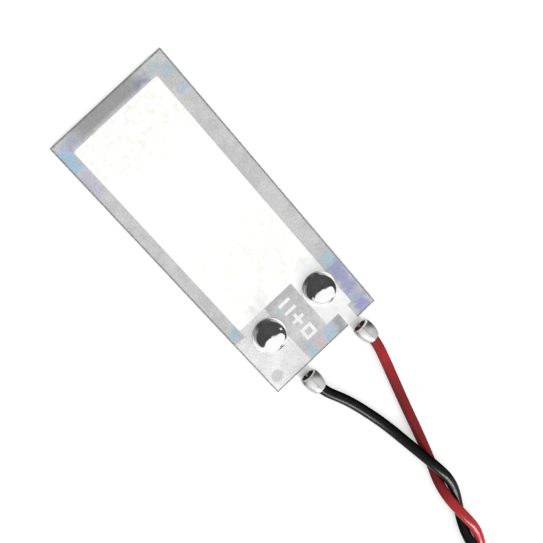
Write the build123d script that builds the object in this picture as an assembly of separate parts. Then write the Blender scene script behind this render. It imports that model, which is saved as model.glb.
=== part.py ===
from build123d import *
from build123d.topology import SkipClean
from math import cos, pi, radians, sin, tan
import os

# A laminated piezo film sensor with two riveted crimp lugs and a twisted pair of leads.
# Frame: +X across the film, +Y towards its free end, the leads leave towards -Y, +Z up.
# The origin is under the middle of the film and its lugs, on the surface they lie on.

# Film and backing
film_width = 16.3
film_length = 41.4
film_thickness = 0.028
adhesive_thickness = 0.04
backing_thickness = 0.125

# Ink
ink_thickness = 0.01
ink_corner = 0.3
ink_lap = 1.0
field_margin_left = 1.65
field_margin_right = 2.25
field_margin_far = 2.05
field_margin_near = 9.6
black_pad_side = 1.7
black_pad_far = 2.05
black_pad_hole = 1.6
black_pad_hole_side = 1.35
black_pad_hole_end = 1.7
red_pad_side = 2.15
red_neck_width = 1.5
red_neck_length = 2.2
red_neck_side = 0.65
mark_size = 1.7
mark_line = 0.42
mark_pitch = 2.2
mark_rise = 1.1

# Rivets
rivet_end_distance = 6.55
rivet_left_distance = 3.96
rivet_right_distance = 4.2
rivet_flange_diameter = 4.3
rivet_flange_thickness = 0.12
rivet_dome_diameter = 3.74
rivet_dome_side = 0.6
rivet_dome_height = 2.45
crown_fullness = 0.55
rivet_shank_diameter = 1.9
rivet_foot_diameter = 3.1
rivet_foot_height = 0.35
rivet_foot_recess = 1.1
hole_clearance = 0.05

# Lugs
lug_sheet = 0.2
lug_ring_diameter = 4.0
lug_neck_width = 1.7
lug_neck_lap = 0.4
lug_overhang = 3.3
barrel_length = 2.4
barrel_width = 2.4
barrel_height = 1.85
barrel_mouth_width = 2.15
barrel_mouth_height = 1.6
barrel_seam = 0.04
barrel_belly = 0.35
lug_angle = {"black": 1.0, "red": 6.0}

# Leads
lead_diameter = 1.36
lead_grip = 1.25
lead_straight = 0.5
lead_fit = 0.02
core_diameter = 0.38
core_reach = 0.35
tip_length = 5.0
arc_share = 0.45

# Twisted pair
twist_step = 2.98
twist_steps = 9
twist_angle = 60.0
twist_half_width = 0.84
twist_half_height = 0.84
twist_axis_height = 1.53
pair_start = (0.05, -42.1)
pair_heading = 7.5
pair_heading_step = 1.2

# Coil of the leads
coil_middle_diameter = 13.9
coil_width = 8.1
coil_height = 8.1
coil_corner = 2.37
coil_entry_out = 1.3
coil_exit_out = 2.6
coil_exit_angle = 36.0
coil_port_length = 9.0
coil_port_width = 3.4
coil_port_height = 2.9
coil_port_corner = 1.3
lead_in_run = 2.0
end_run = 2.0
end_splay = 8.0
end_pitch = 1.66
end_height = 0.7
tie_arc = 16.0
tie_thickness = 0.15
tie_clearance = 0.1
tie_angle = 20.0

# Heights of the layers
lug_bottom = rivet_foot_height
backing_bottom = lug_bottom + lug_sheet
adhesive_bottom = backing_bottom + backing_thickness
film_bottom = adhesive_bottom + adhesive_thickness
film_top = film_bottom + film_thickness
ink_top = film_top + ink_thickness

# Places in the plane
free_end = (film_length + lug_overhang) / 2
lead_end = free_end - film_length
left_edge = -film_width / 2
right_edge = film_width / 2
rivet_row = lead_end + rivet_end_distance
rivet_place = {"black": (left_edge + rivet_left_distance, rivet_row),
               "red": (right_edge - rivet_right_distance, rivet_row)}
field_left = left_edge + field_margin_left
field_right = right_edge - field_margin_right
field_far = free_end - field_margin_far
field_near = lead_end + field_margin_near
black_pad_right = rivet_place["black"][0] + black_pad_side
red_pad_left = rivet_place["red"][0] - red_pad_side
red_pad_near = lead_end + red_neck_length
rivet_to_barrel_end = rivet_end_distance + lug_overhang
rivet_to_barrel_mouth = rivet_to_barrel_end - barrel_length
coil_underside = tie_thickness + tie_clearance
coil_entry_turn = coil_middle_diameter / 2 + coil_entry_out
coil_exit_turn = coil_middle_diameter / 2 + coil_exit_out
barrel_end_diameter = lead_diameter + 2 * (lead_fit + lug_sheet)
lead_height = lug_bottom + barrel_end_diameter / 2

os.makedirs("parts", exist_ok=True)


def save(name, shape):
    """Write one node's solids to its STEP file."""
    shape.label = name
    export_step(shape, f"parts/{name}.step")


def plate(x0, x1, y0, y1, bottom, height):
    """A rectangular plate between two corners."""
    outline = Rectangle(x1 - x0, y1 - y0, align=(Align.MIN, Align.MIN))
    return extrude(Pos(x0, y0, bottom) * outline, height)


def holes(bottom, height):
    """The two holes that the rivets pass through."""
    hole = extrude(Circle(rivet_shank_diameter / 2 + hole_clearance), height)
    return [Pos(x, y, bottom) * hole for x, y in rivet_place.values()]


def punched(shape, bottom, height):
    """A layer with the rivets' holes through it."""
    for hole in holes(bottom, height):
        shape -= hole
    return shape


def backing():
    """Clear polyester sheet, with the glued area marked off from the riveted end."""
    near = plate(left_edge, right_edge, lead_end, field_near, backing_bottom, backing_thickness)
    far = plate(left_edge, right_edge, field_near, free_end, backing_bottom, backing_thickness)
    with SkipClean():
        near = punched(near, backing_bottom, backing_thickness)
        return near + far


def field(bottom):
    """The active field of one electrode, with softened corners."""
    outline = RectangleRounded(field_right - field_left, field_far - field_near, ink_corner)
    centre = Pos((field_left + field_right) / 2, (field_far + field_near) / 2, bottom)
    return extrude(centre * outline, ink_thickness)


def upper_electrode():
    """Active field with the red lead's pad and its neck to the film's end."""
    ink = field(film_top)
    ink += plate(red_pad_left, field_right, red_pad_near, field_near + ink_lap,
                 film_top, ink_thickness)
    neck_right = field_right - red_neck_side
    ink += plate(neck_right - red_neck_width, neck_right, lead_end, red_pad_near + ink_lap,
                 film_top, ink_thickness)
    return punched(ink, film_top, ink_thickness)


def lower_electrode():
    """Active field with the black lead's pad, which runs to the film's edge."""
    bottom = film_bottom - ink_thickness
    pad_far = rivet_row + black_pad_far
    ink = field(bottom)
    ink += plate(left_edge, black_pad_right, lead_end, pad_far, bottom, ink_thickness)
    ink += plate(field_left, black_pad_right, pad_far - ink_lap, field_near + ink_lap,
                 bottom, ink_thickness)
    dot = Pos(left_edge + black_pad_hole_side, lead_end + black_pad_hole_end, bottom)
    ink -= dot * extrude(Circle(black_pad_hole / 2), ink_thickness)
    return punched(ink, bottom, ink_thickness)


def adhesive():
    """Adhesive that fills the space around the lower electrode."""
    sheet = plate(left_edge, right_edge, lead_end, free_end, adhesive_bottom, adhesive_thickness)
    return punched(sheet, adhesive_bottom, adhesive_thickness) - lower_electrode()


def film():
    """The piezo film itself."""
    sheet = plate(left_edge, right_edge, lead_end, free_end, film_bottom, film_thickness)
    return punched(sheet, film_bottom, film_thickness)


def printed_marks():
    """Three plain marks in the gap between the pads: bars, a cross and a frame."""
    def bar(width, height):
        return extrude(Rectangle(width, height), ink_thickness)

    bars = [Pos(0, side * (mark_size - mark_line) / 2) * bar(mark_size, mark_line)
            for side in (-1, 1)]
    cross = bar(mark_size, mark_line) + bar(mark_line, mark_size)
    frame = bar(mark_size, mark_size) - bar(mark_size - 2 * mark_line, mark_size - 2 * mark_line)
    middle = (black_pad_right + red_pad_left) / 2
    place = [Pos(middle, rivet_row + mark_rise - row * mark_pitch, film_top) for row in range(3)]
    return Compound([place[0] * mark for mark in bars] + [place[1] * cross, place[2] * frame])


def rivet(name):
    """Domed head on the film, shank through the stack, clinched foot under the lug."""
    seat = ink_top if name == "red" else film_top
    rim = seat + rivet_flange_thickness
    shoulder = rim + rivet_dome_side
    crown = seat + rivet_dome_height
    dome, flange = rivet_dome_diameter / 2, rivet_flange_diameter / 2
    shank, foot = rivet_shank_diameter / 2, rivet_foot_diameter / 2
    roll = rivet_foot_height / 2
    outline = [
        Polyline((0, rivet_foot_height), (rivet_foot_recess / 2, 0), (foot - roll, 0)),
        RadiusArc((foot - roll, 0), (foot - roll, rivet_foot_height), -roll),
        Polyline((foot - roll, rivet_foot_height), (shank, rivet_foot_height), (shank, seat),
                 (flange, seat), (flange, rim), (dome, rim), (dome, shoulder)),
        Bezier((dome, shoulder), (dome, shoulder + crown_fullness * (crown - shoulder)),
               (crown_fullness * dome, crown), (0, crown)),
        Line((0, crown), (0, rivet_foot_height))]
    turned = revolve(Plane.XZ * make_face(outline), axis=Axis.Z)
    x, y = rivet_place[name]
    return Pos(x, y, 0) * turned


def barrel_section(distance, width, height, inset):
    """An oval cut across the barrel, standing on the lug's underside."""
    centre = lug_bottom + height / 2
    plane = Plane((0, -distance, centre), x_dir=(1, 0, 0), z_dir=(0, -1, 0))
    return plane * Ellipse(width / 2 - inset, height / 2 - inset)


def barrel_form(inset):
    """The rolled barrel's outside, or its bore when inset by the sheet."""
    middle = rivet_to_barrel_mouth + barrel_length * barrel_belly
    return loft([
        barrel_section(rivet_to_barrel_mouth, barrel_mouth_width, barrel_mouth_height, inset),
        barrel_section(middle, barrel_width, barrel_height, inset),
        barrel_section(rivet_to_barrel_end, barrel_end_diameter, barrel_end_diameter, inset)])


def lug(name):
    """Ring, neck and rolled crimp barrel, made about the rivet's axis and then turned."""
    ring = extrude(Pos(0, 0, lug_bottom) * Circle(lug_ring_diameter / 2), lug_sheet)
    neck = plate(-lug_neck_width / 2, lug_neck_width / 2,
                 -rivet_to_barrel_mouth - lug_neck_lap, 0, lug_bottom, lug_sheet)
    shape = ring + neck + barrel_form(0)
    shape -= barrel_form(lug_sheet)
    shape -= plate(-barrel_seam / 2, barrel_seam / 2, -rivet_to_barrel_end,
                   -rivet_to_barrel_mouth, lead_height, barrel_height)
    shape -= extrude(Pos(0, 0, lug_bottom) * Circle(rivet_shank_diameter / 2 + hole_clearance),
                     lug_sheet)
    x, y = rivet_place[name]
    return Pos(x, y, 0) * Rot(0, 0, lug_angle[name]) * shape


def lug_point(name, distance, height):
    """A point on the lug's centre line, so far from the rivet's axis."""
    x, y = rivet_place[name]
    turn = radians(lug_angle[name])
    return (x + distance * sin(turn), y - distance * cos(turn), height)


def core(name):
    """Stripped conductor from the insulation's end to just past the barrel's mouth."""
    start = lug_point(name, rivet_to_barrel_end - lead_grip, lead_height)
    end = lug_point(name, rivet_to_barrel_mouth - core_reach, lead_height)
    return cylinder_between(start, end, core_diameter)


def cylinder_between(start, end, diameter):
    """A straight round bar between two points."""
    line = Line(start, end)
    return sweep(Plane(line @ 0, z_dir=line % 0) * Circle(diameter / 2), path=line)


def cord_path(points):
    """Straight runs joined by arcs as large as their runs allow; prints the radii."""
    radii = []
    for before, here, after in zip(points, points[1:], points[2:]):
        run_in, run_out = Vector(*here) - Vector(*before), Vector(*after) - Vector(*here)
        half_turn = radians(run_in.get_angle(run_out)) / 2
        radii.append(arc_share * min(run_in.length, run_out.length) / tan(half_turn))
    print("radii", [round(radius, 1) for radius in radii])
    return FilletPolyline(*points, radius=radii)


def cord_tube(name, points):
    """One lead along its path, with its volume set against section times length."""
    path = cord_path(points)
    tube = sweep(Plane(path @ 0, z_dir=path % 0) * Circle(lead_diameter / 2), path=path)
    section = pi * lead_diameter ** 2 / 4
    print(name, "length", round(path.length, 2), "volume ratio",
          round(tube.volume / (section * path.length), 4))
    return tube


def pair_axis():
    """Places and headings along the middle of the twisted pair, one for each step."""
    x, y = pair_start
    heading = pair_heading
    stations = []
    for _ in range(twist_steps):
        stations.append((x, y, heading))
        heading += pair_heading_step
        x -= twist_step * sin(radians(heading))
        y -= twist_step * cos(radians(heading))
    return stations


def twist_points(side):
    """One lead's points round the pair's axis; side is 1 for black and -1 for red."""
    points = []
    for index, (x, y, heading) in enumerate(pair_axis()):
        phase = radians(index * twist_angle)
        out = side * twist_half_width * sin(phase)
        up = side * twist_half_height * cos(phase)
        turn = radians(heading)
        points.append((x + out * cos(turn), y - out * sin(turn), twist_axis_height + up))
    last_x, last_y, last_z = points[-1]
    turn = radians(heading)
    points.append((last_x - lead_in_run * sin(turn), last_y - lead_in_run * cos(turn), last_z))
    return points


# Hand-chosen points from each lug to where the pair starts to twist
black_route = [(-2.85, -26.2, 1.05), (-2.02, -29.4, 0.78), (-1.22, -33.2, 0.71),
               (-0.65, -37.4, 1.3)]
red_route = [(4.15, -26.4, 1.05), (3.25, -29.8, 0.78), (2.25, -33.6, 0.71), (1.2, -37.8, 0.73)]


def lead(name, side, route):
    """One lead from its barrel to the coil."""
    start = lug_point(name, rivet_to_barrel_end - lead_grip, lead_height)
    clear = lug_point(name, rivet_to_barrel_end + lead_straight, lead_height)
    return cord_tube(f"wire_{name}", [start, clear] + route + twist_points(side))


def coil_frame():
    """The coil's own frame: -X to where the pair comes in, which runs there along -Y."""
    x, y, heading = pair_axis()[-1]
    turn = radians(heading)
    reach = lead_in_run + coil_port_length
    x += coil_entry_turn * cos(turn) - reach * sin(turn)
    y -= coil_entry_turn * sin(turn) + reach * cos(turn)
    return Pos(x, y, 0) * Rot(0, 0, -heading)


def coil_section(grow):
    """The bundle of turns cut across, or an outline that stands off it all round."""
    middle = coil_underside + coil_height / 2
    outline = chamfer(Rectangle(coil_width + 2 * grow, coil_height + 2 * grow).vertices(),
                      coil_corner + grow / 2)
    return Pos(coil_middle_diameter / 2, 0, middle) * Rot(90, 0, 0) * outline


def coil():
    """One ring for all the turns, with a straight stub where the pair comes in and goes out."""
    ring = revolve(coil_section(0), axis=Axis.Z)
    outline = RectangleRounded(coil_port_width, coil_port_height, coil_port_corner)
    port = Pos(0, 0, coil_port_height / 2) * Rot(90, 0, 0) * extrude(outline, coil_port_length)
    way_in = Pos(-coil_entry_turn, coil_port_length, 0) * port
    way_out = Rot(0, 0, coil_exit_angle) * Pos(-coil_exit_turn, 0, 0) * port
    return coil_frame() * (ring + way_in + way_out)


def coil_tie():
    """A thin strap closed round the bundle of turns."""
    grown = tie_clearance + tie_thickness
    strap = revolve(coil_section(grown) - coil_section(tie_clearance), axis=Axis.Z,
                    revolution_arc=tie_arc)
    return coil_frame() * Rot(0, 0, tie_angle) * strap


def end_points(side):
    """One lead's free end beyond the coil, which it leaves along -Y of its own frame."""
    splay = radians(end_splay)
    x, y = side * end_pitch / 2 - coil_exit_turn, -coil_port_length
    points = [(x, y, end_height), (x, y - end_run, end_height)]
    for step in (1, 2):
        x += side * end_run * sin(splay * step)
        y = points[-1][1] - end_run * cos(splay * step)
        points.append((x, y, end_height))
    return points


def end_frame():
    """The coil's frame, turned to where the pair goes out."""
    return coil_frame() * Rot(0, 0, coil_exit_angle)


def tip_ends(side):
    """Where the insulation stops and where the bare conductor stops."""
    before, last = (Vector(*point) for point in end_points(side)[-2:])
    return last, last + (last - before).normalized() * tip_length


def main():
    """Build every piece and write it to its file."""
    save("polyester_backing", backing())
    save("adhesive_layer", adhesive())
    save("lower_electrode", lower_electrode())
    save("piezo_film", film())
    save("upper_electrode", upper_electrode())
    save("printed_marks", printed_marks())
    for name, side, route in (("black", 1, black_route), ("red", -1, red_route)):
        save(f"rivet_{name}", rivet(name))
        save(f"lug_{name}", lug(name))
        save(f"core_{name}", core(name))
        save(f"wire_{name}", lead(name, side, route))
        end = cord_tube(f"wire_end_{name}", end_points(side))
        save(f"wire_end_{name}", end_frame() * end)
        start, stop = tip_ends(side)
        save(f"tip_{name}", end_frame() * cylinder_between(start, stop, core_diameter))
    save("lead_coil", coil())
    save("coil_tie", coil_tie())


main()
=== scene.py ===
from math import cos, pi, radians, sin

import bmesh
import bpy
from mathutils import Matrix, Vector


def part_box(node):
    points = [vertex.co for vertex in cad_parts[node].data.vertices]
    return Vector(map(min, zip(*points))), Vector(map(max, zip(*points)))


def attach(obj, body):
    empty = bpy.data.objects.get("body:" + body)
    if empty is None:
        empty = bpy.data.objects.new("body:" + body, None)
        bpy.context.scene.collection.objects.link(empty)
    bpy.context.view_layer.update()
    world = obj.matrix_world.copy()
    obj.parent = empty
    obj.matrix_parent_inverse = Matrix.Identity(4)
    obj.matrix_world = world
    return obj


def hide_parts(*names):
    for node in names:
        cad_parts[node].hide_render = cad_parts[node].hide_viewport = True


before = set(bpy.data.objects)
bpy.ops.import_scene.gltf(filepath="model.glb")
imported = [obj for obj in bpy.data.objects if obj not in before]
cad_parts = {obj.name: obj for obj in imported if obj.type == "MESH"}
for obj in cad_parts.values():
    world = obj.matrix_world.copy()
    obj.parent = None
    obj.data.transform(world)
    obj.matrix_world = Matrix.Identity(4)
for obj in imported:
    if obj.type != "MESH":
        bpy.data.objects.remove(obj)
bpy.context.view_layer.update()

# The piezo film sensor's looks, in metres and degrees in the CAD model's frame: +X across the
# film, +Y towards its free end, +Z up, the leads leaving towards -Y.
MM = 0.001
UP = Vector((0, 0, 1))


def added(name, data):
    """A new object in the scene."""
    made = bpy.data.objects.new(name, data)
    bpy.context.scene.collection.objects.link(made)
    return made


# ---------------------------------------------------------------- the leads' routes
LEAD_DIAMETER = 1.36 * MM
LUG_ANGLE = {"black": 1.0, "red": 6.0}
GRIP_DISTANCE = 8.6 * MM
CLEAR_DISTANCE = 10.35 * MM
LEAD_HEIGHT = 1.25 * MM

# Points from each lug to where the pair starts to twist, in millimetres
ROUTE = {
    "black": [(-2.63, -26.2, 1.05), (-1.81, -29.4, 0.78), (-1.02, -33.2, 0.71),
              (-0.48, -37.4, 1.3)],
    "red": [(4.2, -26.4, 1.05), (3.35, -29.8, 0.78), (2.37, -33.6, 0.71), (1.33, -37.8, 0.73)],
}

# The twisted pair
TWIST_STEP = 2.98 * MM
TWIST_STEPS = 9
TWIST_ANGLE = 60.0
HALF_WIDTH = 0.8 * MM
HALF_HEIGHT = 0.84 * MM
AXIS_HEIGHT = 1.53 * MM
PAIR_START = (0.17 * MM, -42.1 * MM)
PAIR_HEADING = 7.5
HEADING_STEP = 1.2
TIGHT_HALF = 0.79 * MM
TIGHTENING_STEPS = 4
SIDE = {"black": 1, "red": -1}

# The coil that the pair is put away in, and the leads' free ends
WAY_IN = 11.0 * MM
WAY_IN_STEPS = 4
COIL_RADIUS = 6.95 * MM
COIL_CONTROL_SCALE = 1.02
COIL_ENTRY_REACH = 8.25 * MM
COIL_EXIT_REACH = 9.55 * MM
COIL_TURNS = 5.1
COIL_STATIONS = 76
COIL_MIDDLE_HEIGHT = 4.28 * MM
BUNDLE_RADIUS = 2.7 * MM
FIRST_SLOT = -60.0
SLOT_ANGLE = 60.0
WAY_OUT = 9.0 * MM
WAY_OUT_STEPS = 3
LAST_PHASE = 5490.0
END_RUN = 2.0 * MM
END_SPLAY = 8.0
END_PITCH = 1.66 * MM
END_HEIGHT = 0.7 * MM

# Bare conductors, at the leads' tips and in the crimps
STRAND_COUNT = 7
STRAND_DIAMETER = 0.127 * MM
STRAND_LAY = 4.6 * MM
STRAND_UNEVENNESS = 0.006
STRAND_STEPS = 24
STRAND_SIDES = 10
TIP_LENGTH = 4.95 * MM
TIP_FLARE = 0.25
CORE_FLARE = 0.5
CORE_END_DISTANCE = 7.12 * MM

# The twist tie round the coil: a flat ribbon with a wire in it, its two ends twisted together
TIE_ANGLE = 28.0
TIE_WIDTH = 1.6 * MM
TIE_THICKNESS = 0.12 * MM
TIE_RIDGE = 0.1 * MM
TIE_SEAT = 45.0
TIE_BEND = 0.62 * MM
TIE_TAIL = 5.0 * MM
TIE_TURNS = 2.0
TIE_CLOSE = 0.085 * MM
TIE_CLEARANCE = 0.02 * MM
TIE_GAP = 5.0
TIE_LOOK = 5.0
LOOP_STEPS = 60
TAIL_STEPS = 30


def lug_point(name, distance, height):
    """A point on a lug's centre line, so far from its rivet's axis."""
    low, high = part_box(f"rivet_{name}")
    turn = radians(LUG_ANGLE[name])
    middle = (low + high) / 2
    return Vector((middle.x + distance * sin(turn), middle.y - distance * cos(turn), height))


def pair_stations():
    """The visible stretch of the pair's axis: place, heading and twist phase."""
    x, y = PAIR_START
    heading = PAIR_HEADING
    stations = []
    for index in range(TWIST_STEPS):
        stations.append((x, y, AXIS_HEIGHT, heading, index * TWIST_ANGLE))
        heading += HEADING_STEP
        x -= TWIST_STEP * sin(radians(heading))
        y -= TWIST_STEP * cos(radians(heading))
    return stations


def coil_middle():
    """The coil's centre, and the heading at which the pair comes in on its outside."""
    x, y, _, heading, _ = pair_stations()[-1]
    turn = radians(heading)
    x += COIL_ENTRY_REACH * cos(turn) - WAY_IN * sin(turn)
    y -= COIL_ENTRY_REACH * sin(turn) + WAY_IN * cos(turn)
    return x, y, heading


def in_coil(turns, outward, ahead, height):
    """A point beside the coil's circle, so far outwards and ahead of the place at these turns."""
    centre_x, centre_y, heading = coil_middle()
    angle = radians(180 - heading + 360 * turns)
    x = centre_x + outward * cos(angle) - ahead * sin(angle)
    y = centre_y + outward * sin(angle) + ahead * cos(angle)
    return x, y, height


def hidden_stations():
    """The pair's axis beyond its visible stretch: way in, coil and way out.

    Each turn of the coil moves one place round the bundle that the turns make up."""
    x, y, z, heading, phase = pair_stations()[-1]
    turn = radians(heading)
    places = []
    for index in range(1, WAY_IN_STEPS):
        along = WAY_IN * index / WAY_IN_STEPS
        places.append((x - along * sin(turn), y - along * cos(turn), z, heading))
    for index in range(COIL_STATIONS + 1):
        turns = COIL_TURNS * index / COIL_STATIONS
        slot = radians(FIRST_SLOT - SLOT_ANGLE * turns)
        outward = COIL_RADIUS * COIL_CONTROL_SCALE + BUNDLE_RADIUS * cos(slot)
        height = COIL_MIDDLE_HEIGHT + BUNDLE_RADIUS * sin(slot)
        places.append((*in_coil(turns, outward, 0, height), heading - 360 * turns))
    heading -= 360 * COIL_TURNS
    for index in range(1, WAY_OUT_STEPS):
        share = index / WAY_OUT_STEPS
        height += (AXIS_HEIGHT - height) * share
        places.append((*in_coil(COIL_TURNS, COIL_EXIT_REACH, WAY_OUT * share, height), heading))
    stations = []
    for index, (x, y, z, now) in enumerate(places, 1):
        share = index / len(places)
        stations.append((x, y, z, now, phase + (LAST_PHASE - phase) * share))
    return stations


def beside(station, side, width, height):
    """One lead's point beside the pair's axis."""
    x, y, z, heading, phase = station
    turn = radians(heading)
    out = side * width * sin(radians(phase))
    up = side * height * cos(radians(phase))
    return Vector((x + out * cos(turn), y - out * sin(turn), z + up))


def way_out(side):
    """One lead's points beyond the coil, beside the other and then apart."""
    splay = radians(END_SPLAY)
    outward, ahead = COIL_EXIT_REACH - side * END_PITCH / 2, WAY_OUT
    points = [in_coil(COIL_TURNS, outward, ahead, END_HEIGHT)]
    for step in range(3):
        outward -= side * END_RUN * sin(splay * step)
        ahead += END_RUN * cos(splay * step)
        points.append(in_coil(COIL_TURNS, outward, ahead, END_HEIGHT))
    return [Vector(point) for point in points]


def lead_points(name):
    """All of one lead's control points, from its crimp to its cut end."""
    side = SIDE[name]
    points = [lug_point(name, GRIP_DISTANCE, LEAD_HEIGHT),
              lug_point(name, CLEAR_DISTANCE, LEAD_HEIGHT)]
    points += [Vector(point) * MM for point in ROUTE[name]]
    points += [beside(station, side, HALF_WIDTH, HALF_HEIGHT) for station in pair_stations()]
    for index, station in enumerate(hidden_stations(), 1):
        loose = max(0.0, 1 - index / TIGHTENING_STEPS)
        points.append(beside(station, side, TIGHT_HALF + loose * (HALF_WIDTH - TIGHT_HALF),
                             TIGHT_HALF + loose * (HALF_HEIGHT - TIGHT_HALF)))
    return points + way_out(side)


def nurbs(name, points):
    """A smooth open curve with these control points."""
    data = bpy.data.curves.new(name, "CURVE")
    data.dimensions = "3D"
    spline = data.splines.new("NURBS")
    spline.points.add(len(points) - 1)
    for target, point in zip(spline.points, points):
        target.co = (*point, 1.0)
    spline.order_u = 3
    spline.use_endpoint_u = True
    data.resolution_u = 6
    return added(name, data)


# ---------------------------------------------------------------- materials
class Nodes:
    """A node tree, built one node at a time."""

    def __init__(self, owner):
        owner.use_nodes = True
        self.tree = owner.node_tree

    def node(self, kind, settings=None, **inputs):
        """Adds a node; inputs are named by socket, with _ for a space."""
        made = self.tree.nodes.new(kind)
        for key, value in (settings or {}).items():
            setattr(made, key, value)
        for key, value in inputs.items():
            self.put(made.inputs[int(key[1:])] if key[1:].isdigit() else
                     made.inputs[key.replace("_", " ")], value)
        return made

    def put(self, socket, value):
        """Sets a socket to a number or links an output to it."""
        if isinstance(value, bpy.types.NodeSocket):
            self.tree.links.new(value, socket)
        else:
            socket.default_value = value

    def maths(self, operation, first, second=0.0):
        """One step of arithmetic on numbers or outputs."""
        return self.node("ShaderNodeMath", {"operation": operation}, _0=first,
                         _1=second).outputs[0]

    def times(self, first, second):
        return self.maths("MULTIPLY", first, second)

    def most(self, first, second):
        return self.maths("MAXIMUM", first, second)

    def without(self, mask):
        """1 where a mask is 0, and 0 where it is 1."""
        return self.maths("SUBTRACT", 1.0, mask)

    def vectors(self, operation, first, second=(0, 0, 0), output=0):
        """One step of arithmetic on vectors."""
        return self.node("ShaderNodeVectorMath", {"operation": operation}, _0=first,
                         _1=second).outputs[output]

    def split(self, vector):
        """A vector's X, Y and Z."""
        return self.node("ShaderNodeSeparateXYZ", None, Vector=vector).outputs[:3]

    def ramp(self, value, low, high, start=0.0, end=1.0, kind="SMOOTHSTEP"):
        """Maps a value from low..high to start..end, and holds it there outside."""
        return self.node("ShaderNodeMapRange", {"interpolation_type": kind}, Value=value,
                         From_Min=low, From_Max=high, To_Min=start, To_Max=end).outputs[0]


class Shader(Nodes):
    """A material's node tree."""

    def __init__(self, name):
        self.material = bpy.data.materials.new(name)
        super().__init__(self.material)
        self.surface = self.tree.nodes["Principled BSDF"]

    def finish(self, colour, roughness, metallic=0.0, normal=None, **sockets):
        """Sets the shader's own sockets."""
        self.put(self.surface.inputs["Base Color"], colour)
        self.put(self.surface.inputs["Roughness"], roughness)
        self.put(self.surface.inputs["Metallic"], metallic)
        if normal:
            self.put(self.surface.inputs["Normal"], normal)
        for key, value in sockets.items():
            self.put(self.surface.inputs[key.replace("_", " ")], value)
        return self.material

    def place(self):
        """Object coordinates, in metres."""
        return self.node("ShaderNodeTexCoord").outputs["Object"]

    def drawn_out(self, place, scale, turn=0.0):
        """Coordinates that draw a pattern out where the scale is less than 1."""
        return self.node("ShaderNodeMapping", None, Vector=place, Rotation=(0, 0, turn),
                         Scale=scale).outputs[0]

    def noise(self, place, size, detail=2.0, roughness=0.5):
        """Smooth noise with features of about this size."""
        return self.node("ShaderNodeTexNoise", None, Vector=place, Scale=1 / size, Detail=detail,
                         Roughness=roughness).outputs["Fac"]

    def mix(self, factor, first, second):
        """A colour between two others."""
        made = self.node("ShaderNodeMix", {"data_type": "RGBA"})
        self.put(made.inputs[0], factor)
        self.put(made.inputs[6], first)
        self.put(made.inputs[7], second)
        return made.outputs[2]

    def bump(self, height, distance, strength=1.0):
        """A normal that follows small relief, so many metres deep."""
        return self.node("ShaderNodeBump", None, Height=height, Distance=distance,
                         Strength=strength).outputs["Normal"]

    def box_mask(self, place, low, high, blur):
        """1 inside a rectangle in X and Y, falling to 0 across its blurred edge."""
        centre = [(a + b) / 2 for a, b in zip(low, high)]
        half = [(b - a) / 2 for a, b in zip(low, high)]
        away = self.vectors("ABSOLUTE", self.vectors("SUBTRACT", place, (*centre, 0)))
        x, y, _ = self.split(self.vectors("SUBTRACT", away, (*half, 0)))
        return self.ramp(self.most(x, y), -blur / 2, blur / 2, 1.0, 0.0)

    def spot_mask(self, place, centre, radius, blur):
        """1 inside a circle in X and Y, falling to 0 across its blurred edge."""
        flat = self.vectors("MULTIPLY", place, (1, 1, 0))
        away = self.vectors("DISTANCE", flat, (*centre, 0), "Value")
        return self.ramp(away, radius - blur / 2, radius + blur / 2, 1.0, 0.0)


def grey(level, warmth=0.0):
    """A linear grey, slightly warm or cool."""
    return (level * (1 + warmth), level, level * (1 - warmth), 1)


def dress(node, material, mirrored=True):
    """Gives a CAD node its material; shiny pieces reflect it unless mirrored is False."""
    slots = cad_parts[node].data.materials
    slots.clear()
    slots.append(material)
    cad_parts[node].visible_glossy = mirrored


# The ink's places on the film, as printed, and how sharply they show through it
FIELD_LENGTH = 29.75 * MM
PAD_RIGHT = -2.55 * MM
PAD_PAST_RIVETS = 2.05 * MM
NECK_PAST_RIVETS = 4 * MM
DOT_INSET = (1.35 * MM, 1.7 * MM)
DOT_RADIUS = 0.8 * MM
PRINT_BLUR = 0.12 * MM
INK_METALLIC = 0.2


def film_layout():
    """The places that the film's colours follow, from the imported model."""
    film_low, film_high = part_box("piezo_film")
    upper_low, upper_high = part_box("upper_electrode")
    rivet_low, rivet_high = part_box("rivet_black")
    row = (rivet_low.y + rivet_high.y) / 2
    return {"edge": ((film_low.x, film_low.y), (film_high.x, film_high.y)),
            "field": ((upper_low.x, upper_high.y - FIELD_LENGTH), (upper_high.x, upper_high.y)),
            "pad": ((film_low.x, film_low.y), (PAD_RIGHT, row + PAD_PAST_RIVETS)),
            "neck": ((upper_low.x, row), (PAD_RIGHT, row + NECK_PAST_RIVETS)),
            "dot": (film_low.x + DOT_INSET[0], film_low.y + DOT_INSET[1])}


def lower_ink(shader, place, names, dot_blur):
    """1 where these parts of the lower ink lie, and 0 in the dot left out of its pad."""
    where = film_layout()
    ink = 0.0
    for name in names:
        ink = shader.most(shader.box_mask(place, *where[name], PRINT_BLUR), ink)
    hole = shader.spot_mask(place, where["dot"], DOT_RADIUS, dot_blur)
    return shader.times(ink, shader.without(hole))


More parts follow.
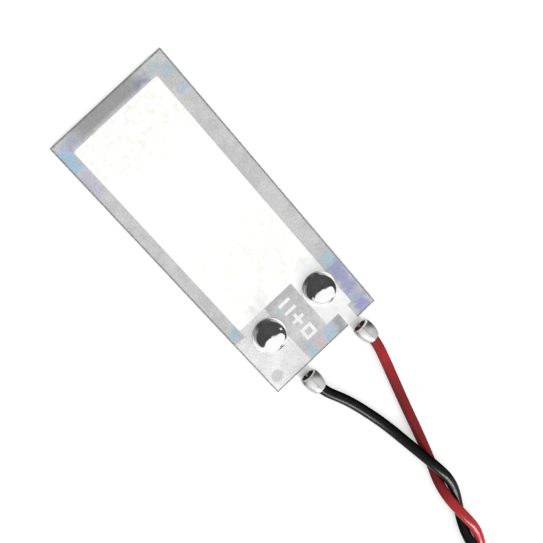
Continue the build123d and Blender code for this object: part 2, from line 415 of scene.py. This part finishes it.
# Tints that thin clear film takes where the light catches it: low and high corner and blur in
# millimetres, colour and strength
TINTS = [
    ((-8.1, 18.2), (-6.6, 21.6), 1.0, (0.30, 0.43, 0.57), 0.9),
    ((-8.2, 14.6), (-6.6, 17.8), 1.2, (0.42, 0.41, 0.49), 0.8),
    ((-6.6, 20.6), (-5.0, 22.0), 0.9, (0.32, 0.33, 0.42), 0.8),
    ((3.3, 20.5), (4.9, 21.5), 0.9, (0.20, 0.21, 0.31), 0.85),
    ((5.0, 20.6), (7.0, 21.6), 0.8, (0.37, 0.43, 0.47), 0.9),
    ((6.5, 19.3), (7.9, 20.9), 0.8, (0.36, 0.44, 0.49), 0.9),
    ((6.3, 18.2), (7.6, 19.2), 0.8, (0.43, 0.43, 0.40), 0.7),
    ((6.6, 16.6), (7.9, 18.1), 0.8, (0.36, 0.44, 0.50), 0.9),
    ((6.6, 15.3), (7.9, 16.3), 0.8, (0.47, 0.43, 0.43), 0.7),
    ((-8.1, -10.1), (-6.6, -8.5), 0.9, (0.33, 0.43, 0.48), 0.9),
    ((6.3, -11.4), (7.8, -9.5), 0.9, (0.33, 0.46, 0.54), 0.9),
    ((6.1, -15.9), (7.9, -11.3), 1.0, (0.27, 0.27, 0.46), 0.9),
    ((6.0, -17.2), (7.3, -16.2), 0.8, (0.30, 0.36, 0.49), 0.9),
    ((5.9, -18.8), (7.7, -17.2), 0.8, (0.25, 0.245, 0.49), 0.9),
    ((-2.1, -12.1), (-0.9, -10.5), 0.8, (0.47, 0.53, 0.54), 0.85),
    ((-2.1, -19.0), (-0.8, -16.6), 0.8, (0.35, 0.44, 0.49), 0.9),
    ((-0.8, -19.0), (0.7, -16.8), 1.0, (0.48, 0.42, 0.45), 0.8),
    ((0.8, -18.8), (2.4, -16.9), 0.8, (0.34, 0.44, 0.54), 0.9),
    ((2.5, -19.0), (3.7, -16.9), 0.7, (0.29, 0.295, 0.31), 0.9),
    ((-2.5, -10.4), (1.8, -9.4), 0.8, (0.39, 0.39, 0.39), 0.9),
    ((-2.4, -15.8), (-1.3, -12.6), 0.8, (0.54, 0.54, 0.54), 0.8),
]


# The darker stretch of the free end's margin, which is painted shade, and the film's dark cut
# edge, partly a painted contact shadow
DARK_STRIP_Y = (20.2 * MM, 21.0 * MM)
DARK_STRIP_MIDDLE = -0.6 * MM
DARK_STRIP_REACH = (3.0 * MM, 6.2 * MM)
RIM = 0.18 * MM
RIM_BLUR = 0.14 * MM


def film_material():
    """Grey translucent film: fine grain, tints, dark rims that are partly a painted contact
    shadow, a painted shade on the free end's margin, and the lower ink showing through.
    """
    shader = Shader("piezo_film")
    place = shader.place()
    x, y, _ = shader.split(place)
    grain = shader.noise(place, 0.13 * MM, 4.0, 0.65)
    cloud = shader.noise(place, 2.2 * MM, 3.0)
    base = shader.mix(shader.ramp(cloud, 0.35, 0.65), grey(0.445), grey(0.51))

    # Painted shade: the free end's margin is darkened along its middle stretch.
    off_middle = shader.maths("ABSOLUTE", shader.maths("SUBTRACT", x, DARK_STRIP_MIDDLE))
    strip = shader.times(shader.ramp(y, *DARK_STRIP_Y),
                         shader.ramp(off_middle, *DARK_STRIP_REACH, 1.0, 0.0))
    base = shader.mix(shader.times(strip, 0.95), base, grey(0.25))

    wobble = shader.maths("SUBTRACT", shader.noise(place, 0.9 * MM), 0.5)
    drifted = shader.vectors("ADD", place, shader.times(wobble, 1.6 * MM))
    for low, high, blur, colour, strength in TINTS:
        mask = shader.box_mask(drifted, [v * MM for v in low], [v * MM for v in high], blur * MM)
        base = shader.mix(shader.times(mask, strength), base, (*colour, 1))

    pad = lower_ink(shader, place, ("pad", "neck"), 0.35 * MM)
    base = shader.mix(pad, base, shader.mix(shader.ramp(cloud, 0.3, 0.7), grey(0.62), grey(0.67)))

    # The dark rim along the cut edge: an edge line, and partly a painted contact shadow.
    low, high = film_layout()["edge"]
    inside = shader.box_mask(place, [v + RIM for v in low], [v - RIM for v in high], RIM_BLUR)
    beads = shader.ramp(shader.noise(place, 0.35 * MM, 2.0), 0.35, 0.6, 0.6, 0.95)
    base = shader.mix(shader.times(shader.without(inside), beads), base, grey(0.15))

    flecks = shader.ramp(grain, 0.28, 0.72, 0.93, 1.37)
    base = shader.node("ShaderNodeVectorMath", {"operation": "SCALE"}, _0=base,
                       Scale=flecks).outputs[0]
    normal = shader.bump(shader.noise(place, 1.4 * MM, 3.0), 0.01 * MM, 0.4)
    return shader.finish(base, shader.ramp(cloud, 0.3, 0.7, 0.24, 0.34),
                         shader.times(pad, INK_METALLIC), normal)


def ink_material():
    """Screen-printed silver ink: pale satin metal with a faint mesh, duller round the pads."""
    shader = Shader("silver_ink")
    place = shader.place()
    y = shader.split(place)[1]
    mottle = shader.noise(place, 1.6 * MM, 4.0, 0.6)
    fine = shader.noise(place, 0.07 * MM, 3.0)
    tint = shader.mix(shader.ramp(shader.noise(place, 3.0 * MM), 0.4, 0.6), (0.97, 0.97, 0.955, 1),
                      (0.955, 0.96, 0.975, 1))
    colour = shader.mix(shader.ramp(mottle, 0.3, 0.7, 0.0, 0.6), tint, grey(0.91))

    round_pads = shader.ramp(y, -12.5 * MM, -9.0 * MM, 1.0, 0.0)
    colour = shader.mix(shader.times(round_pads, shader.ramp(mottle, 0.3, 0.7, 0.6, 1.0)), colour,
                        grey(0.72))

    slanted = shader.drawn_out(place, (1, 0.35, 1), 0.7)
    smudge = shader.ramp(shader.noise(slanted, 1.1 * MM, 4.0, 0.6), 0.5, 0.68)
    colour = shader.mix(shader.times(smudge, shader.ramp(y, -5.5 * MM, -2 * MM, 0.8, 0.12)),
                        colour, grey(0.8))

    near_end = shader.times(shader.ramp(y, 4 * MM, -2 * MM), shader.ramp(y, -9 * MM, -8 * MM))
    zone = shader.most(shader.ramp(y, 11 * MM, 16 * MM, 0.0, 0.85), near_end)
    specks = shader.ramp(shader.noise(place, 0.8 * MM, 4.0, 0.65), 0.48, 0.66)
    colour = shader.mix(shader.times(specks, zone), colour, (0.86, 0.855, 0.77, 1))

    weave = [shader.node("ShaderNodeTexWave", {"wave_type": "BANDS", "bands_direction": direction},
                         Vector=place, Scale=1 / (0.9 * MM), Distortion=0.6,
                         Detail=1.0).outputs["Fac"] for direction in ("X", "Y")]
    height = shader.maths("ADD", shader.times(*weave), fine)
    return shader.finish(colour, shader.ramp(fine, 0.3, 0.7, 0.34, 0.46), INK_METALLIC,
                         shader.bump(height, 0.003 * MM, 0.5), Specular_IOR_Level=0.2)


# Where a lug's flat ends before its barrel, and where the barrel's end gets painted shade, along
# Y;
# the wall under a rivet's dome, darkened as a painted reflection, in height; and its flanks, in X
# from the rivet's middle
LUG_FLAT_END = (-20.05 * MM, -19.9 * MM)
BARREL_END_SHADE = (-20.4 * MM, -21.6 * MM)
WALL_FOOT = (0.88 * MM, 0.92 * MM)
WALL_TOP = (1.35 * MM, 1.75 * MM)
RIVET_OFFSET = 4.07 * MM
FLANK = (0.8 * MM, 1.25 * MM)


def tin_material(name, tones, grain, wear, smooth, dull, neck=0.0, step=0.0):
    """Tin plate over stamped brass: die lines, small dents and duller patches.

    neck makes a lug's flat before its barrel paler and less metallic, and paints the barrel's end
    darker and less metallic as painted shade; step darkens the wall under a rivet's dome on its
    flanks, a painted dark reflection."""
    shader = Shader(name)
    place = shader.place()
    x, y, z = shader.split(place)
    patches = shader.noise(place, 0.9 * MM, 3.0, 0.6)
    fine = shader.noise(place, 0.06 * MM, 2.0)
    lines = shader.noise(shader.drawn_out(place, (1, 0.06, 1)), 0.05 * MM, 2.0)
    colour = shader.mix(shader.ramp(patches, 0.35, 0.7), grey(tones[0], 0.002),
                        grey(tones[1], 0.006))
    pits = shader.ramp(fine, 0.66, 0.76)
    colour = shader.mix(shader.times(pits, wear), colour, grey(0.42, 0.03))
    roughness = shader.ramp(patches, 0.3, 0.75, smooth, dull)
    height = shader.maths("ADD", shader.times(lines, grain), patches)

    # The lug's flat before its barrel is paler and less metallic.
    paler_flat = shader.times(shader.ramp(y, *LUG_FLAT_END), neck)
    colour = shader.mix(paler_flat, colour, grey(0.9))
    # Painted shade: the barrel's end is darkened and made less metallic, to hold back the strip
    # light's highlight there.
    barrel_end_shade = shader.times(shader.ramp(y, *BARREL_END_SHADE), neck)
    colour = shader.mix(barrel_end_shade, colour,
                        shader.mix(shader.ramp(patches, 0.35, 0.65), grey(0.62), grey(0.48)))

    # Painted dark reflection: the wall under a rivet's dome is darkened on its flanks.
    wall = shader.times(shader.ramp(z, *WALL_FOOT), shader.ramp(z, *WALL_TOP, step, 0.0))
    off_middle = shader.maths("SUBTRACT", shader.maths("ABSOLUTE", x), RIVET_OFFSET)
    flank = shader.ramp(shader.maths("ABSOLUTE", off_middle), *FLANK)
    colour = shader.mix(shader.times(wall, flank), colour, grey(0.09))
    return shader.finish(colour, roughness, shader.without(shader.most(paler_flat, barrel_end_shade)),
                         shader.bump(height, 0.006 * MM, 0.5), Specular_IOR_Level=0.15)


# Along Y: where the leads lie in their own shade, from and to, and where they catch the light
SHADE_START = (-26 * MM, -34 * MM)
SHADE_END = (-50 * MM, -44 * MM)
LIT_START = (-50 * MM, -54 * MM)


def insulation_material(name, colour, dark, gloss):
    """Extruded insulation: slight colour drift, painted shade along a middle stretch and painted
    light beyond it, faint orange peel and a soft sheen.
    """
    shader = Shader(name)
    place = shader.place()
    y = shader.split(place)[1]
    drift = shader.noise(place, 4.0 * MM, 2.0)
    peel = shader.noise(place, 0.25 * MM, 3.0)
    speck = shader.ramp(shader.noise(place, 0.1 * MM, 2.0), 0.62, 0.75)

    def shade(base, factor, lift=0.0):
        return tuple(min(1.0, value * factor + lift) for value in base) + (1,)

    base = shader.mix(shader.ramp(drift, 0.35, 0.65), (*colour, 1), (*dark, 1))
    # Painted shade along the leads' middle stretch, and painted light beyond it.
    shaded = shader.times(shader.ramp(y, *SHADE_START), shader.ramp(y, *SHADE_END))
    base = shader.mix(shader.times(shaded, 0.6), base, shade(dark, 0.2))
    base = shader.mix(shader.ramp(y, *LIT_START, 0.0, 0.7), base, shade(colour, 1.6))
    base = shader.mix(shader.times(speck, 0.35), base, shade(colour, 1.5, 0.01))
    return shader.finish(base, shader.ramp(peel, 0.3, 0.7, gloss, gloss + 0.12), 0.0,
                         shader.bump(peel, 0.01 * MM, 0.5), Specular_IOR_Level=0.1)


def strand_material():
    """Tinned copper strands: pale, slightly warm metal with dull flecks."""
    shader = Shader("tinned_copper")
    fleck = shader.noise(shader.place(), 0.12 * MM, 3.0)
    colour = shader.mix(shader.ramp(fleck, 0.4, 0.7), grey(0.66, 0.015), (0.5, 0.4, 0.31, 1))
    return shader.finish(colour, shader.ramp(fleck, 0.3, 0.7, 0.18, 0.34), 1.0,
                         shader.bump(fleck, 0.008 * MM, 0.4))


def backing_material():
    """Clear polyester sheet with the inks showing faintly through from above."""
    shader = Shader("polyester")
    place = shader.place()
    ink = lower_ink(shader, place, ("field", "pad", "neck"), 0.2 * MM)
    haze = shader.noise(place, 1.8 * MM, 3.0)
    base = shader.mix(ink, grey(0.56, -0.01), grey(0.80))
    base = shader.mix(shader.ramp(haze, 0.3, 0.7, 0.0, 0.18), base, grey(0.45, -0.02))
    return shader.finish(base, shader.ramp(haze, 0.3, 0.7, 0.08, 0.16), 0.0,
                         shader.bump(haze, 0.01 * MM, 0.4))


def strap_material():
    """White plastic of the twist tie, scuffed where its ends were turned."""
    shader = Shader("tie")
    place = shader.place()
    blush = shader.noise(place, 1.0 * MM, 2.0)
    scuff = shader.ramp(shader.noise(place, 0.12 * MM, 3.0), 0.6, 0.75)
    colour = shader.mix(shader.ramp(blush, 0.3, 0.7), grey(0.78, 0.01), grey(0.7, 0.02))
    colour = shader.mix(shader.times(scuff, 0.5), colour, grey(0.58, 0.03))
    return shader.finish(colour, shader.ramp(blush, 0.3, 0.7, 0.35, 0.5), 0.0,
                         shader.bump(scuff, 0.01 * MM, 0.4))


# ---------------------------------------------------------------- modelled pieces
SHARP_ANGLE = 50.0


def skin(mesh, rings):
    """Adds a tube with flat ends through rings of points."""
    rows = [[mesh.verts.new(point) for point in ring] for ring in rings]
    for low, high in zip(rows, rows[1:]):
        for index in range(len(low)):
            after = (index + 1) % len(low)
            mesh.faces.new((low[index], low[after], high[after], high[index]))
    mesh.faces.new(reversed(rows[0]))
    mesh.faces.new(rows[-1])


def piece(name, mesh, material, node):
    """Turns a bmesh into a piece that stands for a CAD node."""
    bmesh.ops.recalc_face_normals(mesh, faces=mesh.faces)
    for face in mesh.faces:
        face.smooth = len(face.verts) == 4
    data = bpy.data.meshes.new(name)
    mesh.to_mesh(data)
    mesh.free()
    data.set_sharp_from_angle(angle=radians(SHARP_ANGLE))
    data.materials.append(material)
    made = added(name, data)
    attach(made, "root")
    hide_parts(node)
    return made


def strands(name, start, end, flare, material, node):
    """Seven twisted strands along a straight line, a little apart at its end."""
    mesh = bmesh.new()
    length = (end - start).length
    along = (end - start).normalized()
    across = along.cross(UP).normalized()
    upward = across.cross(along)

    def round_axis(turn, reach):
        return (across * cos(turn) + upward * sin(turn)) * reach

    for strand in range(STRAND_COUNT):
        outward = STRAND_DIAMETER if strand else 0.0
        reach = length * (1 - STRAND_UNEVENNESS * (strand * 3 % STRAND_COUNT))
        rings = []
        for step in range(STRAND_STEPS + 1):
            share = step / STRAND_STEPS
            turn = 2 * pi * (strand / (STRAND_COUNT - 1) + share * reach / STRAND_LAY)
            centre = start + along * reach * share
            centre += round_axis(turn, outward * (1 + flare * share ** 4))
            rings.append([centre + round_axis(2 * pi * side / STRAND_SIDES, STRAND_DIAMETER / 2)
                          for side in range(STRAND_SIDES)])
        skin(mesh, rings)
    return piece(name, mesh, material, node)


def round_coil(ahead):
    """Directions outwards and ahead round the coil, so far past the tie, in radians."""
    angle = radians(TIE_ANGLE - coil_middle()[2]) + ahead
    return Vector((cos(angle), sin(angle), 0)), Vector((-sin(angle), cos(angle), 0))


def tie_outline(leads, centre):
    """How far the turns' taut outline lies from their middle under the tie, by angle."""
    outward, along = round_coil(0)
    held = []
    for lead in leads:
        for vertex in bpy.data.meshes.new_from_object(lead).vertices:
            away = vertex.co - centre
            flat = Vector((away.x, away.y))
            if abs(away.dot(along)) < TIE_WIDTH / 2 and away.dot(outward) > 0 and \
                    flat.length < COIL_RADIUS + 2 * BUNDLE_RADIUS:
                held.append((flat.length - COIL_RADIUS, away.z))
    looks = [radians(TIE_LOOK * index) for index in range(int(360 / TIE_LOOK))]
    supports = [max(u * cos(look) + v * sin(look) for u, v in held) for look in looks]

    def reach(angle):
        return min(support / cos(look - angle) for look, support in zip(looks, supports)
                   if cos(look - angle) > 0.3) + TIE_THICKNESS / 2 + TIE_CLEARANCE

    return reach


def tie_tails(centre, seat_reach):
    """The tie's two ends: bent from its seat along the coil and twisted together."""
    seat = radians(TIE_SEAT)
    bend_run = TIE_BEND * pi / 2
    tails = {1: [], -1: []}
    for step in range(TAIL_STEPS + 1):
        run = (bend_run + TIE_TAIL) * step / TAIL_STEPS
        bend = min(run / TIE_BEND, pi / 2)
        out, on = round_coil(max(0.0, run - bend_run) / (COIL_RADIUS + seat_reach))
        ray = out * cos(seat) + UP * sin(seat)
        face = UP * cos(seat) - out * sin(seat)
        axis = ray * cos(bend) + on * sin(bend)
        place = centre + out * COIL_RADIUS + ray * (seat_reach + TIE_BEND * sin(bend))
        place += on * TIE_BEND * (1 - cos(bend))
        spin = 2 * pi * TIE_TURNS * step / TAIL_STEPS
        normal = face * cos(spin) + axis.cross(face) * sin(spin)
        for side, tail in tails.items():
            tail.append((place + normal * side * TIE_CLOSE, normal * side, -axis.cross(normal)))
    return tails


def tie_ribbon(leads):
    """The twist tie's places, face normals and width directions, from one end to the other."""
    centre_x, centre_y, _ = coil_middle()
    centre = Vector((centre_x, centre_y, COIL_MIDDLE_HEIGHT))
    outward, along = round_coil(0)
    reach = tie_outline(leads, centre)
    loop = []
    for index in range(LOOP_STEPS + 1):
        angle = radians(TIE_SEAT + TIE_GAP + (360 - 2 * TIE_GAP) * index / LOOP_STEPS)
        ray = outward * cos(angle) + UP * sin(angle)
        loop.append((outward * COIL_RADIUS + centre + ray * reach(angle), ray, along))
    tails = tie_tails(centre, reach(radians(TIE_SEAT)))
    return tails[1][::-1] + loop + tails[-1]


def twist_tie(leads, material, node):
    """Closes the ribbon round the turns and skins it, with the wire's ridge on its outside."""
    half, face, ridge = TIE_WIDTH / 2, TIE_THICKNESS / 2, TIE_THICKNESS / 2 + TIE_RIDGE
    profile = [(-half, -face), (half, -face), (half, face), (0.3 * half, face),
               (0.18 * half, 0.8 * ridge), (0, ridge), (-0.18 * half, 0.8 * ridge),
               (-0.3 * half, face), (-half, face)]
    mesh = bmesh.new()
    skin(mesh, [[place + wide * across + normal * out for across, out in profile]
                for place, normal, wide in tie_ribbon(leads)])
    return piece("twist_tie", mesh, material, node)


# ---------------------------------------------------------------- pieces
ink = ink_material()
film = film_material()
tin_rivet = tin_material("tin_rivet", (0.97, 0.9), 0.2, 0.25, 0.08, 0.2, step=0.95)
tin_lug = tin_material("tin_lug", (0.63, 0.52), 0.6, 0.4, 0.34, 0.46, neck=0.9)
insulation = {"black": insulation_material("black_insulation", (0.002, 0.002, 0.002),
                                           (0.003, 0.003, 0.003), 0.24),
              "red": insulation_material("red_insulation", (0.40, 0.026, 0.030),
                                         (0.29, 0.019, 0.022), 0.16)}
copper = strand_material()
clear = backing_material()
strap = strap_material()

for node in ("upper_electrode", "lower_electrode", "printed_marks"):
    dress(node, ink, mirrored=False)
for node in ("piezo_film", "adhesive_layer"):
    dress(node, film, mirrored=False)
dress("polyester_backing", clear, mirrored=False)
for name in SIDE:
    dress(f"rivet_{name}", tin_rivet)
    dress(f"lug_{name}", tin_lug)

leads, tips = {}, {}
for name in SIDE:
    points = lead_points(name)
    lead = nurbs(f"lead_{name}", points)
    lead.data.bevel_depth = LEAD_DIAMETER / 2
    lead.data.bevel_resolution = 6
    lead.data.use_fill_caps = True
    lead.data.materials.append(insulation[name])
    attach(lead, "root")
    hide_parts(f"wire_{name}", f"wire_end_{name}")
    leads[name] = lead
    onward = (points[-1] - points[-2]).normalized()
    tips[name] = strands(f"strands_{name}", points[-1], points[-1] + onward * TIP_LENGTH,
                         TIP_FLARE, copper, f"tip_{name}")
    strands(f"crimped_strands_{name}", lug_point(name, GRIP_DISTANCE, LEAD_HEIGHT),
            lug_point(name, CORE_END_DISTANCE, LEAD_HEIGHT), CORE_FLARE, copper, f"core_{name}")
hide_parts("lead_coil")
tie = twist_tie(leads.values(), strap, "coil_tie")

# ---------------------------------------------------------------- floor, light and camera
FLOOR_REACH = 1.5
FLOOR_DROP = 0.02 * MM

CARD_DISTANCE = 1.2
CARD_COLUMNS = 32
# Heights, and the azimuths where the dark card starts and ends at each
CARD_OUTLINE = [(-85, -68, 206), (-60, -68, 206), (-20, -66, 205), (0, -44, 198), (10, -30, 193),
                (30, -16, 176), (50, -8, 158), (60, -5, 150), (68, 8, 138), (74, 30, 115)]

STRIP_PLACE = (-0.302, -0.83, 0.469)
STRIP_SIZE = (0.7, 0.14)
STRIP_POWER = 20.0

# The direction towards which the lower sky is bright, and how bright the rest of it is
BRIGHT_SIDE = (-0.26, -0.97, 0)
DIM_SKY = 0.25
SKY_STRENGTH = 1.02

CAMERA_PLACE = Vector((-8.775, 61.908, 142.986)) * MM
CAMERA_TARGET = Vector((1.092, -6.947, 0.0)) * MM
CAMERA_ROLL = 129.391
CAMERA_LENS = 89.0


def paper_floor():
    """A pale sheet of paper, a little brighter than the light alone makes it."""
    mesh = bpy.data.meshes.new("floor")
    corners = [(x * FLOOR_REACH, y * FLOOR_REACH, 0)
               for x, y in ((-1, -1), (1, -1), (1, 1), (-1, 1))]
    mesh.from_pydata(corners, [], [(0, 1, 2, 3)])
    floor = added("floor", mesh)
    floor.location.z = -FLOOR_DROP
    floor.visible_glossy = False
    floor.visible_diffuse = False
    paper = Shader("paper")
    fibre = paper.noise(paper.place(), 1.5 * MM, 3.0)
    mesh.materials.append(paper.finish(
        paper.mix(fibre, grey(0.88), grey(0.92)), paper.ramp(fibre, 0.3, 0.7, 0.85, 0.95), 0.0,
        paper.bump(fibre, 0.01 * MM, 0.3), Emission_Color=(1, 1, 1, 1), Emission_Strength=0.36))


def dark_card():
    """A dark screen round part of the horizon that only shiny surfaces see."""
    card = bmesh.new()
    rows = []
    for height, start, end in CARD_OUTLINE:
        flat, rise = CARD_DISTANCE * cos(radians(height)), CARD_DISTANCE * sin(radians(height))
        turns = [radians(start + (end - start) * column / CARD_COLUMNS)
                 for column in range(CARD_COLUMNS + 1)]
        rows.append([card.verts.new((flat * cos(turn), flat * sin(turn), rise))
                     for turn in turns])
    for below, above in zip(rows, rows[1:]):
        for column in range(CARD_COLUMNS):
            card.faces.new((below[column], below[column + 1], above[column + 1], above[column]))
    mesh = bpy.data.meshes.new("dark_card")
    card.to_mesh(mesh)
    card.free()
    mesh.materials.append(Shader("dark_card").finish(grey(0.06), 1.0))
    screen = added("dark_card", mesh)
    for ray in ("camera", "diffuse", "shadow", "transmission", "volume_scatter"):
        setattr(screen, f"visible_{ray}", False)


def strip_light():
    """A long soft light that draws the highlights along the leads and rivets."""
    data = bpy.data.lights.new("strip", "AREA")
    data.shape = "RECTANGLE"
    data.size, data.size_y = STRIP_SIZE
    data.energy = STRIP_POWER
    light = added("strip", data)
    light.location = STRIP_PLACE
    light.rotation_euler = (-Vector(STRIP_PLACE)).to_track_quat("-Z", "Y").to_euler()
    light.visible_diffuse = False


def studio_world():
    """White light all round, dimmer from below the horizon except on its bright side."""
    world = bpy.data.worlds.new("studio")
    bpy.context.scene.world = world
    sky = Nodes(world)
    direction = sky.node("ShaderNodeTexCoord").outputs["Generated"]
    facing = sky.vectors("DOT_PRODUCT", direction, BRIGHT_SIDE, "Value")
    above = sky.ramp(sky.split(direction)[2], -0.08, 0.02, kind="LINEAR")
    ahead = sky.ramp(facing, 0.3, 0.6, DIM_SKY, 1.0, kind="LINEAR")
    background = sky.tree.nodes["Background"]
    background.inputs["Color"].default_value = (1, 1, 1, 1)
    sky.put(background.inputs["Strength"], sky.times(sky.most(above, ahead), SKY_STRENGTH))


def photograph_camera():
    """The camera at the photograph's viewing angle."""
    data = bpy.data.cameras.new("camera")
    data.lens = CAMERA_LENS
    data.clip_start = 5 * MM
    camera = added("camera", data)
    look = (CAMERA_TARGET - CAMERA_PLACE).to_track_quat("-Z", "Y").to_matrix().to_4x4()
    roll = Matrix.Rotation(radians(CAMERA_ROLL), 4, "Z")
    camera.matrix_world = Matrix.Translation(CAMERA_PLACE) @ look @ roll
    bpy.context.scene.camera = camera


paper_floor()
dark_card()
strip_light()
studio_world()
photograph_camera()
bpy.context.scene.view_settings.view_transform = "Standard"
